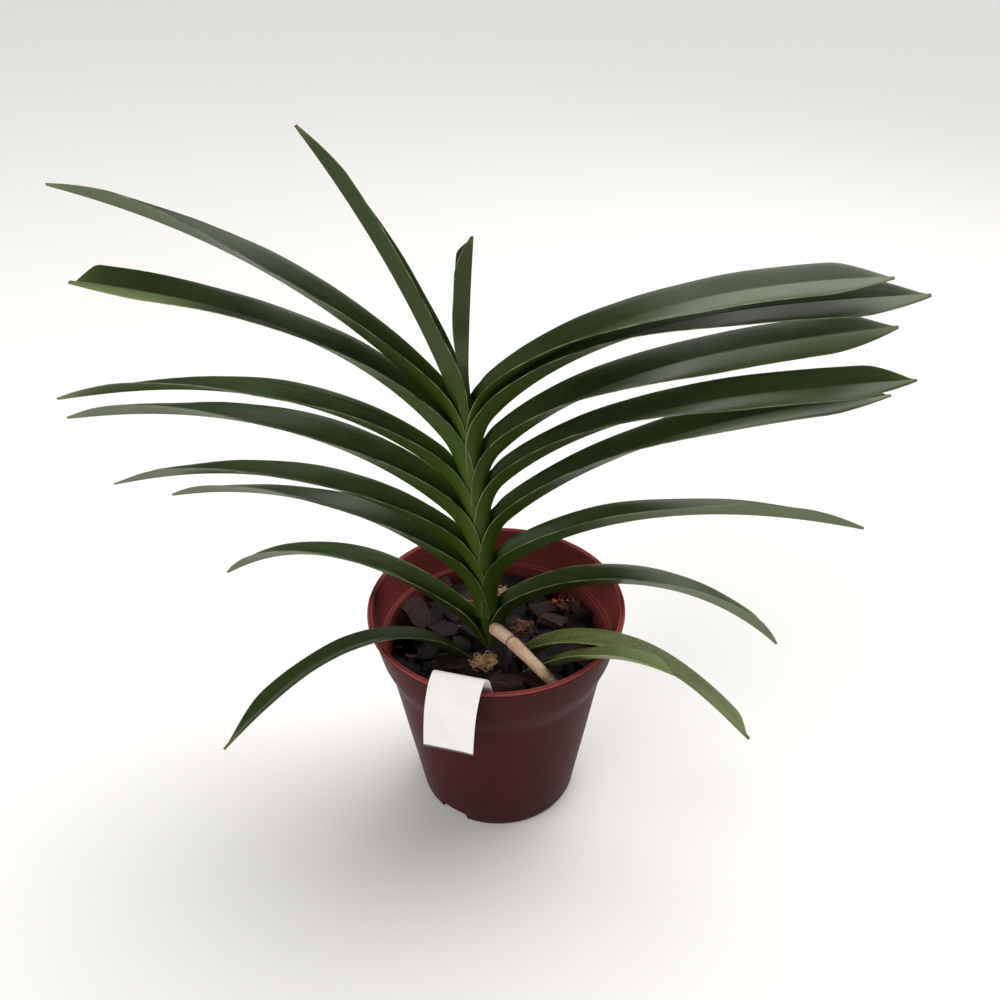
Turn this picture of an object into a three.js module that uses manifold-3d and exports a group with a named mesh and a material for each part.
// A young strap-leaved orchid in a tapered nursery pot of chunky bark.
// Millimetres, +Z up, origin at the middle of the pot's flat underside.
// The fan of leaves spreads along X and its face looks towards -Y.
import * as THREE from 'three';
import { mergeVertices } from 'three/addons/utils/BufferGeometryUtils.js';
import Module from 'manifold-3d';

const wasm = await Module();
wasm.setup();

// Clearances
const SEAT_GAP = 0.35;

// Pot
const RIM_RADIUS = 65;
const POT_HEIGHT = 120;
const FOOT_RADIUS = 42.3;
const FOOT_ROUND = 1.2;
const WALL = 1.3;
const FLOOR = 1.6;
const WALL_TOP = { radius: 55.3, height: 85 };
const COLLAR_FOOT = { radius: 59.9, height: 97.6 };
const LIP = { height: 3.2, depth: 1.4, round: 0.7 };
const LEDGE = { radius: 57, height: 99, step: 2, slope: 0.8 };
const POT_SIDES = 40;
const NOTCHES = 3;
const NOTCH = { width: 16, height: 5, inner: 35, outer: 48, firstTurn: 235 };

// Bark bed
const BED = { middle: 92, edge: 88.5, bottom: FLOOR + SEAT_GAP, crest: 30 };
const CHIPS = 34;
const CHIP = { shortest: 15, longest: 28, thinnest: 4, thickest: 7, sides: 5, taper: 0.88 };
const CHIP_SPREAD = 51.5;
const CHIP_LIFT = { least: 0.5, draw: 2.5 };
const CHIP_LEAN = { tilt: 0.9, roll: 0.8 };
const CHIP_SEED = 20;
const GOLDEN_TURN = 137.5;
const WALL_SLAB = { x: -44.5, y: 18, z: 96, size: [24, 4, 18], turn: 25, tilt: 32 };

// Stem: an upright, slightly leaning axis that the leaves stand on by turns
const STEM = { foot: 48, top: 236, footX: -0.4, lean: -0.0708 };
const STEM_RADIUS = { foot: 4.6, top: 2.4, flatten: 0.9, sides: 10, steps: 4 };

// Leaves, oldest first and numbered from the bottom up. Lengths in mm, angles in degrees.
// node: height of the keel on the stem. rise, fall: slope at the base and at the tip.
// bend: under 1 the leaf arches early, over 1 late. settle: over 1 it runs out straight.
// turn: away from the viewer, and sweep: how much it turns on. twist: roll towards the viewer,
// and twistFrom: where that begins. fold, open: half angle of the folded blade at the base and
// past the middle. joint: where the blade leaves its sheath. rootWidth: share of the full width
// at the very base, and widenBy: where it is full. shoulder: where the far half is cut in to the
// point. bluntness: share of the near half's width that is left at the tip.
const LEAF_DEFAULTS = { length: 210, bend: 0.7, settle: 1, turn: 10, sweep: 0, twist: -22,
  twistFrom: 0.05, fold: 24, open: 66, width: 22.5, joint: 20, rootWidth: 0.45, widenBy: 0.12,
  shoulder: 0.9, bluntness: 0.14 };
const LEAVES = [
  { name: 'leaf_right_1', side: 1, node: 54, rise: 52.5, fall: 17.5, bend: 2.3, settle: 1.18,
    length: 149, turn: -43, sweep: -10, twist: -9, fold: 40, open: 58, width: 14.3, joint: 16 },
  { name: 'leaf_left_1', side: -1, node: 55, rise: 62.6, fall: -27.3, bend: 2.6, settle: 1.76,
    length: 188, turn: -32.5, sweep: -12, twist: -20, fold: 40, open: 72, width: 16.7, joint: 19,
    shoulder: 0.862 },
  { name: 'leaf_right_2', side: 1, node: 61, rise: 60.2, fall: -34.4, bend: 2.07, settle: 1.58,
    length: 169, turn: -28.6, sweep: -11, twist: -23.5, fold: 36, open: 79, width: 18.1, joint: 19,
    shoulder: 0.943 },
  { name: 'leaf_left_2', side: -1, node: 96, rise: 35.6, fall: -35.9, bend: 1.84, settle: 1.55,
    length: 167, turn: 19.6, twist: -21, open: 63, width: 20.4 },
  { name: 'leaf_right_3', side: 1, node: 101, rise: 74.2, fall: -47.4, bend: 0.52, settle: 1.18,
    length: 180, turn: 6.5, twist: -18, open: 54.6, width: 21.3 },
  { name: 'leaf_left_3', side: -1, node: 126, rise: 47, fall: -15, bend: 1.1, settle: 1.29,
    length: 173, turn: 12.4, twist: -33, twistFrom: 0.12, open: 71.7, width: 24 },
  { name: 'leaf_right_4', side: 1, node: 128, rise: 80.8, fall: -14, bend: 0.41, settle: 1.2,
    length: 197, turn: 0.4, twist: -32, open: 56, width: 21.6, shoulder: 0.883 },
  { name: 'leaf_left_4', side: -1, node: 143, rise: 46.2, fall: -17.9, bend: 0.93, settle: 1.45,
    length: 202, turn: 12.4, twist: -25.6, twistFrom: 0.27, width: 21.6 },
  { name: 'leaf_right_5', side: 1, node: 154, rise: 71.3, fall: -1.3, bend: 0.376, settle: 1.36,
    length: 222, turn: 13.3, twist: 39, twistFrom: 0.27, open: 57.5, width: 21.4 },
  { name: 'leaf_left_5', side: -1, node: 160, rise: 53.4, fall: -12.2, bend: 0.83, settle: 1.46,
    length: 222, turn: 12.9, twist: -28, twistFrom: 0.26, open: 67, width: 26.4 },
  { name: 'leaf_right_6', side: 1, node: 175, rise: 68.7, fall: -2.1, bend: 0.55, settle: 2.4,
    length: 230, turn: 11.4, twist: 45, twistFrom: 0.175, open: 67, width: 20.3, shoulder: 0.886 },
  { name: 'leaf_left_6', side: -1, node: 182, rise: 53.5, fall: -13.5, bend: 0.84, settle: 1.68,
    length: 220, turn: 12.4, twist: -26.4, twistFrom: 0.37, open: 65.3, width: 21.4 },
  { name: 'leaf_right_7', side: 1, node: 191, rise: 67.8, fall: 0.4, bend: 0.616, settle: 2.4,
    length: 222.6, turn: 13.7, twist: 34, open: 83.7, width: 22.8, shoulder: 0.879 },
  { name: 'leaf_left_7', side: -1, node: 200, rise: 60.4, fall: 7.3, bend: 1.25, settle: 2,
    length: 196, turn: 5.9, twist: 16, twistFrom: 0.51, open: 65.3, width: 22.3, shoulder: 0.956,
    bluntness: 0.28 },
  { name: 'leaf_right_8', side: 1, node: 209, rise: 76.9, fall: -2.1, bend: 0.58, settle: 2.4,
    length: 235.5, turn: 12, twist: 32, twistFrom: 0.3, open: 75.5, width: 25, shoulder: 0.852 },
  { name: 'leaf_left_8', side: -1, node: 219, rise: 53.5, fall: 11.8, bend: 0.97, settle: 1.24,
    length: 208.4, turn: 11.6, twist: -27, twistFrom: 0.41, open: 57, width: 21.4 },
  { name: 'leaf_right_9', side: 1, node: 220, rise: 70, fall: -2.5, bend: 0.507, settle: 1.57,
    length: 211, turn: 10.9, twist: 26, open: 76.7, width: 21.1, shoulder: 0.872 },
  { name: 'leaf_left_9', side: -1, node: 226, rise: 74, fall: 57, bend: 1, length: 140, turn: 0,
    twist: -14, fold: 20, open: 46, width: 19, joint: 24, shoulder: 0.72 },
  { name: 'leaf_right_10', side: 1, node: 226, rise: 89, fall: 85, bend: 1, length: 84, turn: 0,
    twist: 0, fold: 16, open: 30, width: 17, joint: 27, rootWidth: 0.15, widenBy: 0.65 },
];
const BLADE = { keel: 1.6, edge: 1.0, tip: 0.7, stations: 14, crowding: 0.06, keelFill: 0.5,
  leastSpread: 0.12 };
const LEAF_OFFSET = 2;
const GROWTH_STEPS = 240;
// The two halves end differently: the near one narrows early and evenly, the far one is cut in late
const NEAR_TIP = { from: 0.82, to: 1, power: 1.6 };
const FAR_TIP = { to: 0.99, loss: 0.95, power: 1.25 };
const TIP_STUB = 0.8;

// Roots
const AERIAL_ROOT = {
  path: [[-0.5, -6.4, 106.6], [4, -10, 106], [12, -20.2, 105.6], [21.2, -32.2, 104.2],
    [28.4, -38.8, 100.6], [32.6, -41, 94], [31, -38.6, 86]],
  startRadius: 3.2, endRadius: 2.3, sides: 7, steps: 12,
};
const BURIED_ROOTS = 5;
const BURIED_ROOT = { radius: 2.6, crownRadius: 4, reach: 34, drop: 32, firstTurn: 20, sides: 5, steps: 4 };

// Plant label: a blank strip looped over the rim, given by radius, height and sideways shift
const LABEL = {
  width: 24.4, thickness: 0.6, turn: 254, steps: 22,
  path: [[49.4, 80, 3.6], [53.9, 100, 3], [58.6, 118, 2.5], [61.6, 127, 2], [65.6, 131, 1.5],
    [69.2, 129.4, 1], [71.6, 123, 0], [72, 112, -1.5], [71, 98, -3], [70, 86, -4]],
};

// Fibre tufts lying on the bark
const TUFTS = [
  { name: 'fibre_tuft_gold', x: -7, y: -16.2, z: 94.5, radius: 5, strands: 6, seed: 3 },
  { name: 'fibre_tuft_curly', x: 13, y: 10, z: 94, radius: 5, strands: 6, seed: 7 },
  { name: 'fibre_tuft_back', x: 4, y: 38, z: 94, radius: 4.5, strands: 5, seed: 11 },
  { name: 'fibre_tuft_splinter', x: 39, y: 30, z: 93, radius: 5, strands: 6, seed: 15 },
];
const TUFT_HEART = { across: 0.8, deep: 0.7, height: 2.4, sides: 7, rings: 4 };
const STRAND = { radius: 0.6, sides: 3, steps: 3, tipShare: 0.7, lift: 1.5, liftDraw: 3.5 };

// Small helpers
const radians = (degrees) => degrees * Math.PI / 180;
const mix = (a, b, t) => a + (b - a) * t;
const limit = (x, low, high) => Math.min(high, Math.max(low, x));

function smooth(from, to, x) {
  const t = limit((x - from) / (to - from), 0, 1);
  return t * t * (3 - 2 * t);
}

function seededRandom(seed) {
  let state = seed;
  return () => {
    state = (state * 16807) % 2147483647;
    return state / 2147483647;
  };
}

// A closed geometry becomes a solid for joining and cutting, and comes back as one
function toSolid(geometry) {
  const bare = geometry.clone();
  bare.deleteAttribute('normal');
  bare.deleteAttribute('uv');
  const merged = mergeVertices(bare, 1e-4);
  return new wasm.Manifold(new wasm.Mesh({
    numProp: 3,
    vertProperties: new Float32Array(merged.attributes.position.array),
    triVerts: new Uint32Array(merged.index.array),
  }));
}

function toGeometry(solid) {
  const mesh = solid.getMesh();
  const geometry = new THREE.BufferGeometry();
  geometry.setAttribute('position', new THREE.BufferAttribute(mesh.vertProperties, 3));
  geometry.setIndex(new THREE.BufferAttribute(mesh.triVerts, 1));
  geometry.computeVertexNormals();
  return geometry;
}

function joined(solids) {
  return solids.reduce((whole, piece) => whole.add(piece));
}

// Keeps the main body where a cut leaves loose scraps or a sealed bubble
function mainBody(solid) {
  return solid.decompose().reduce((best, piece) => (piece.volume() > best.volume() ? piece : best));
}

// Moves every vertex of a geometry by a rule
function bent(geometry, rule) {
  const position = geometry.attributes.position;
  const vertex = new THREE.Vector3();
  for (let i = 0; i < position.count; i += 1) {
    vertex.fromBufferAttribute(position, i);
    const moved = rule(vertex);
    position.setXYZ(i, moved.x, moved.y, moved.z);
  }
  return geometry;
}

// A round bar along a curve whose radius runs evenly from start to end
function bar(points, startRadius, endRadius, sides, steps, grow = 0) {
  const curve = new THREE.CatmullRomCurve3(points.map((p) => new THREE.Vector3(...p)));
  const frames = curve.computeFrenetFrames(steps, false);
  const length = curve.getLength();
  return bent(new THREE.CylinderGeometry(1, 1, 1, sides, steps), (v) => {
    const t = v.y + 0.5;
    const k = Math.round(t * steps);
    const radius = mix(startRadius, endRadius, t) + grow / Math.cos(Math.PI / sides);
    const overrun = (t < 0.01 ? -grow : 0) + (t > 0.99 ? grow : 0);
    return curve.getPointAt(t)
      .addScaledVector(frames.tangents[k], overrun * Math.min(1, length))
      .addScaledVector(frames.binormals[k], v.x * radius)
      .addScaledVector(frames.normals[k], v.z * radius);
  });
}

// Pot
function innerRadius(height) {
  if (height >= LEDGE.height) {
    return mix(LEDGE.radius + LEDGE.step, RIM_RADIUS - LIP.depth - WALL,
      (height - LEDGE.height) / (POT_HEIGHT - LEDGE.height));
  }
  if (height >= COLLAR_FOOT.height) {
    return LEDGE.radius;
  }
  if (height >= WALL_TOP.height) {
    return mix(WALL_TOP.radius - WALL, LEDGE.radius,
      (height - WALL_TOP.height) / (COLLAR_FOOT.height - WALL_TOP.height));
  }
  return mix(FOOT_RADIUS - WALL, WALL_TOP.radius - WALL, height / WALL_TOP.height);
}

function potSolid() {
  const collarTop = RIM_RADIUS - LIP.depth;
  const lipFoot = POT_HEIGHT - LIP.height;
  const profile = [
    [0, 0], [FOOT_RADIUS - FOOT_ROUND, 0], [FOOT_RADIUS, FOOT_ROUND],
    [WALL_TOP.radius, WALL_TOP.height], [COLLAR_FOOT.radius, COLLAR_FOOT.height],
    [collarTop, lipFoot], [RIM_RADIUS, lipFoot + LIP.round],
    [RIM_RADIUS, POT_HEIGHT - LIP.round], [RIM_RADIUS - LIP.round, POT_HEIGHT],
    [collarTop - WALL + LIP.round / 2, POT_HEIGHT], [collarTop - WALL, POT_HEIGHT - LIP.round],
    [innerRadius(LEDGE.height), LEDGE.height + LEDGE.slope], [LEDGE.radius, LEDGE.height],
    [LEDGE.radius, COLLAR_FOOT.height], [WALL_TOP.radius - WALL, WALL_TOP.height],
    [innerRadius(FLOOR), FLOOR], [0, FLOOR],
  ].map(([x, y]) => new THREE.Vector2(x, y));
  const shell = new THREE.LatheGeometry(profile, POT_SIDES).rotateX(Math.PI / 2);
  let pot = toSolid(shell);
  for (let i = 0; i < NOTCHES; i += 1) {
    const notch = new THREE.BoxGeometry(NOTCH.outer - NOTCH.inner, NOTCH.width, NOTCH.height * 2);
    notch.translate((NOTCH.outer + NOTCH.inner) / 2, 0, 0);
    notch.rotateZ(radians(NOTCH.firstTurn + i * 360 / NOTCHES));
    pot = pot.subtract(toSolid(notch));
  }
  return pot;
}

// Leaves
function stemX(height) {
  return STEM.footX + (height - STEM.foot) * STEM.lean;
}

// Steps along the keel line, turning a little at each step
function growthLine(leaf) {
  const stepLength = leaf.length / GROWTH_STEPS;
  const line = [];
  const point = new THREE.Vector3(stemX(leaf.node) + leaf.side * LEAF_OFFSET, 0, leaf.node);
  for (let i = 0; i <= GROWTH_STEPS; i += 1) {
    const s = i / GROWTH_STEPS;
    const arch = (1 - (1 - s) ** leaf.settle) ** leaf.bend;
    const slope = radians(mix(leaf.rise, leaf.fall, arch));
    const turn = radians(leaf.turn + leaf.sweep * s);
    const along = new THREE.Vector3(leaf.side * Math.cos(slope) * Math.cos(turn),
      Math.cos(slope) * Math.sin(turn), Math.sin(slope));
    const up = new THREE.Vector3(-leaf.side * Math.sin(slope) * Math.cos(turn),
      -Math.sin(slope) * Math.sin(turn), Math.cos(slope));
    line.push({ point: point.clone(), along, up, across: up.clone().cross(along) });
    point.addScaledVector(along, stepLength);
  }
  return line;
}

function halfWidth(leaf, s, near) {
  const root = mix(leaf.rootWidth, 1, smooth(0, leaf.widenBy, s));
  const taper = 1 - 0.1 * smooth(0.5, 0.9, s);
  const end = near
    ? { ...NEAR_TIP, loss: 1 - leaf.bluntness }
    : { ...FAR_TIP, from: leaf.shoulder };
  const tip = 1 - end.loss * limit((s - end.from) / (end.to - end.from), 0, 1) ** end.power;
  return Math.max(TIP_STUB, leaf.width / 2 * root * taper * tip);
}

// One point of the folded blade. u runs from -1 to 1 across it, and s along it.
// The outer face is the keel side. The inner face is one thickness inside it, or for
// the solid sheath lies straight across the fold.
function bladePoint(leaf, line, s, u, outer, filled, grow) {
  const step = limit(s, 0, 1) * (line.length - 1);
  const place = line[Math.floor(step)];
  const next = line[Math.ceil(step)];
  const overrun = (s - limit(s, 0, 1)) * leaf.length;
  const angle = radians(mix(leaf.fold, leaf.open, smooth(0, 0.6, s)));
  const twist = radians(leaf.twist) * smooth(leaf.twistFrom, 0.9, s) * leaf.side;
  const width = halfWidth(leaf, s, u * leaf.side < 0);
  const reach = (width + grow) * Math.abs(u);
  const half = Math.sign(u);
  let height = reach * Math.cos(angle);
  let aside = reach * Math.sin(angle);
  const keelTop = width * BLADE.keelFill * Math.cos(angle);
  if (outer) {
    height -= grow * (u === 0 ? 1 / Math.sin(angle) : Math.sin(angle));
    aside += u === 0 ? 0 : grow * Math.cos(angle);
  } else if (filled) {
    height = (width + grow) * Math.cos(angle);
  } else {
    const thickness = mix(BLADE.keel, BLADE.edge, Math.abs(u)) * mix(1, BLADE.tip, s) + grow;
    height += u === 0 ? Math.min(thickness / Math.sin(angle), keelTop) : thickness * Math.sin(angle);
    aside = u === 0 ? 0 : Math.max(aside - thickness * Math.cos(angle), BLADE.leastSpread * reach);
  }
  const upward = place.up.clone().applyAxisAngle(place.along, twist);
  const sideways = place.across.clone().applyAxisAngle(place.along, twist);
  return place.point.clone()
    .lerp(next.point, step - Math.floor(step))
    .addScaledVector(place.along, overrun)
    .addScaledVector(upward, height)
    .addScaledVector(sideways, aside * half);
}

function bladeGeometry(leaf, from, to, stations, filled = false, grow = 0) {
  const segments = filled ? 2 : 4;
  const line = growthLine(leaf);
  const start = from / leaf.length - grow / leaf.length;
  const end = to / leaf.length + grow / leaf.length;
  return bent(new THREE.BoxGeometry(2, 1, 1, segments, 1, stations), (v) => {
    const t = v.z + 0.5;
    const crowded = t - BLADE.crowding * Math.sin(2 * Math.PI * t);
    return bladePoint(leaf, line, mix(start, end, crowded), v.x, v.y < 0, filled, grow);
  });
}

const leaves = LEAVES.map((leaf) => ({ ...LEAF_DEFAULTS, ...leaf }));

function leafSolid(leaf, grow = 0) {
  return toSolid(bladeGeometry(leaf, leaf.joint + SEAT_GAP, leaf.length, BLADE.stations, false, grow));
}

// Stem with the solid sheath foot of each leaf
function stemSolid(grow = 0) {
  const length = STEM.top - STEM.foot;
  const { sides, steps } = STEM_RADIUS;
  const core = bent(new THREE.CylinderGeometry(1, 1, 1, sides, steps), (v) => {
    const t = v.y + 0.5;
    const height = STEM.foot + t * length + (t === 0 ? -grow : 0) + (t === 1 ? grow : 0);
    const radius = mix(STEM_RADIUS.foot, STEM_RADIUS.top, t) + grow;
    return new THREE.Vector3(stemX(height) + v.x * radius, -v.z * radius * STEM_RADIUS.flatten, height);
  });
  const lobes = leaves.map((leaf) => toSolid(bladeGeometry(leaf, 0, leaf.joint, 2, true, grow)));
  return joined([toSolid(core), ...lobes]);
}

// Roots
function aerialRootSolid(grow = 0) {
  const { path, startRadius, endRadius, sides, steps } = AERIAL_ROOT;
  return toSolid(bar(path, startRadius, endRadius, sides, steps, grow));
}

function buriedRootsSolid(grow = 0) {
  const { radius, crownRadius, reach, drop, firstTurn, sides, steps } = BURIED_ROOT;
  const top = STEM.foot - SEAT_GAP - crownRadius;
  const core = new THREE.SphereGeometry(crownRadius + grow, 8, 6).translate(stemX(STEM.foot), 0, top);
  const runs = [];
  for (let i = 0; i < BURIED_ROOTS; i += 1) {
    const turn = radians(firstTurn + i * 360 / BURIED_ROOTS);
    const out = (r, z) => [stemX(STEM.foot) + r * Math.cos(turn), r * Math.sin(turn), z];
    const path = [out(0, top), out(reach * 0.4, top - 2), out(reach * 0.8, top - drop * 0.5),
      out(reach, top - drop)];
    runs.push(toSolid(bar(path, radius, radius * 0.7, sides, steps, grow)));
  }
  return joined([toSolid(core), ...runs]);
}

// Label
function labelSolid(grow = 0) {
  const turn = radians(LABEL.turn);
  const outward = new THREE.Vector3(Math.cos(turn), Math.sin(turn), 0);
  const sideways = new THREE.Vector3(-Math.sin(turn), Math.cos(turn), 0);
  const curve = new THREE.CatmullRomCurve3(LABEL.path.map(([r, z, shift]) => (
    outward.clone().multiplyScalar(r).addScaledVector(sideways, shift).setZ(z))));
  return toSolid(bent(new THREE.BoxGeometry(1, 1, 1, 1, 1, LABEL.steps), (v) => {
    const t = v.z + 0.5;
    const tangent = curve.getTangentAt(t);
    const face = sideways.clone().cross(tangent).normalize();
    return curve.getPointAt(t)
      .addScaledVector(tangent, (t === 0 ? -grow : 0) + (t === 1 ? grow : 0))
      .addScaledVector(sideways, -v.x * (LABEL.width + 2 * grow))
      .addScaledVector(face, v.y * (LABEL.thickness + 2 * grow));
  }));
}

// Fibre tufts: a small matted heart with curled strands that leave it
function tuftSolid(tuft, grow = 0) {
  const random = seededRandom(tuft.seed);
  const heart = new THREE.SphereGeometry(1, TUFT_HEART.sides, TUFT_HEART.rings);
  heart.scale(tuft.radius * TUFT_HEART.across + grow, tuft.radius * TUFT_HEART.deep + grow,
    TUFT_HEART.height + grow);
  const pieces = [toSolid(heart)];
  for (let i = 0; i < tuft.strands; i += 1) {
    const turn = radians(i * 360 / tuft.strands + 30 * random());
    const reach = tuft.radius * (0.9 + 0.5 * random());
    const lift = STRAND.lift + STRAND.liftDraw * random();
    const curl = turn + 0.5 + random();
    const path = [[0, 0, 0.5], [0.5 * reach * Math.cos(turn), 0.5 * reach * Math.sin(turn), lift],
      [reach * Math.cos(curl), reach * Math.sin(curl), lift * (0.3 + 0.6 * random())]];
    pieces.push(toSolid(bar(path, STRAND.radius, STRAND.radius * STRAND.tipShare, STRAND.sides,
      STRAND.steps, grow)));
  }
  return joined(pieces).translate([tuft.x, tuft.y, tuft.z]);
}

// Bark bed: a plain fill with chunks laid over it in a spiral, every draw seeded
function chipSolid(size, place, turn, tilt, roll, random) {
  const chip = new THREE.CylinderGeometry(0.5, 0.5 * CHIP.taper, 1, CHIP.sides);
  const corners = Array.from({ length: CHIP.sides }, () => 0.8 + 0.4 * random());
  bent(chip, (v) => {
    const corner = Math.round((Math.atan2(v.x, v.z) / (2 * Math.PI) + 1) * CHIP.sides) % CHIP.sides;
    const stretch = Math.hypot(v.x, v.z) > 0.1 ? corners[corner] : 1;
    return new THREE.Vector3(v.x * stretch, v.y, v.z * stretch);
  });
  chip.scale(size[0], size[1], size[2]);
  chip.rotateX(Math.PI / 2);
  chip.rotateX(roll);
  chip.rotateY(tilt);
  chip.rotateZ(turn);
  chip.translate(...place);
  return toSolid(chip);
}

function barkSolid(cutters) {
  const edge = (height) => innerRadius(height) - SEAT_GAP;
  const middle = (BED.middle + BED.edge) / 2;
  const profile = [
    [0, BED.bottom], [edge(BED.bottom), BED.bottom], [edge(WALL_TOP.height), WALL_TOP.height],
    [edge(BED.edge), BED.edge],
    [BED.crest, middle], [0, BED.middle],
  ].map(([x, y]) => new THREE.Vector2(x, y));
  const fill = new THREE.LatheGeometry(profile, POT_SIDES).rotateX(Math.PI / 2);
  const random = seededRandom(CHIP_SEED);
  const chips = [];
  for (let i = 0; i < CHIPS; i += 1) {
    const spread = Math.sqrt((i + 0.7) / CHIPS);
    const radius = CHIP_SPREAD * spread;
    const around = radians(i * GOLDEN_TURN);
    const long = mix(CHIP.shortest, CHIP.longest, random());
    const size = [long, mix(CHIP.thinnest, CHIP.thickest, random()), long * (0.5 + 0.35 * random())];
    const height = mix(BED.middle, BED.edge, spread) + CHIP_LIFT.least + CHIP_LIFT.draw * random();
    const place = [radius * Math.cos(around), radius * Math.sin(around), height];
    chips.push(chipSolid(size, place, 2 * Math.PI * random(), CHIP_LEAN.tilt * (random() - 0.5),
      CHIP_LEAN.roll * (random() - 0.5), random));
  }
  chips.push(chipSolid(WALL_SLAB.size, [WALL_SLAB.x, WALL_SLAB.y, WALL_SLAB.z],
    radians(WALL_SLAB.turn), radians(WALL_SLAB.tilt), 0, random));
  const wellInside = [
    [0, WALL_TOP.height], [edge(WALL_TOP.height), WALL_TOP.height],
    [edge(COLLAR_FOOT.height), COLLAR_FOOT.height], [edge(COLLAR_FOOT.height), POT_HEIGHT],
    [0, POT_HEIGHT],
  ].map(([x, y]) => new THREE.Vector2(x, y));
  const inside = toSolid(new THREE.LatheGeometry(wellInside, POT_SIDES).rotateX(Math.PI / 2));
  const bed = toSolid(fill).add(joined(chips).intersect(inside));
  return mainBody(bed.subtract(joined(cutters)));
}

// Finishes
function finish(colour, roughness) {
  return new THREE.MeshStandardMaterial({ color: colour, roughness, metalness: 0 });
}

const plant = new THREE.Group();

function addNode(name, solid, material) {
  const mesh = new THREE.Mesh(toGeometry(solid), material);
  mesh.name = name;
  plant.add(mesh);
}

addNode('pot', potSolid(), finish(0x5a2c2a, 0.5));
addNode('bark_bed', barkSolid([
  stemSolid(SEAT_GAP), ...leaves.map((leaf) => leafSolid(leaf, SEAT_GAP)),
  aerialRootSolid(SEAT_GAP), buriedRootsSolid(SEAT_GAP), labelSolid(SEAT_GAP),
  ...TUFTS.map((tuft) => tuftSolid(tuft, SEAT_GAP)),
]), finish(0x2a1d1c, 0.85));
addNode('stem', stemSolid(), finish(0x3c4a1c, 0.5));
leaves.forEach((leaf) => addNode(leaf.name, leafSolid(leaf), finish(0x2f4420, 0.38)));
addNode('aerial_root', aerialRootSolid(), finish(0xb89678, 0.7));
addNode('buried_roots', buriedRootsSolid(), finish(0xa08c70, 0.75));
TUFTS.forEach((tuft) => addNode(tuft.name, tuftSolid(tuft), finish(0x8a6a40, 0.9)));
addNode('plant_label', labelSolid(), finish(0xe9e4e2, 0.55));

export default plant;
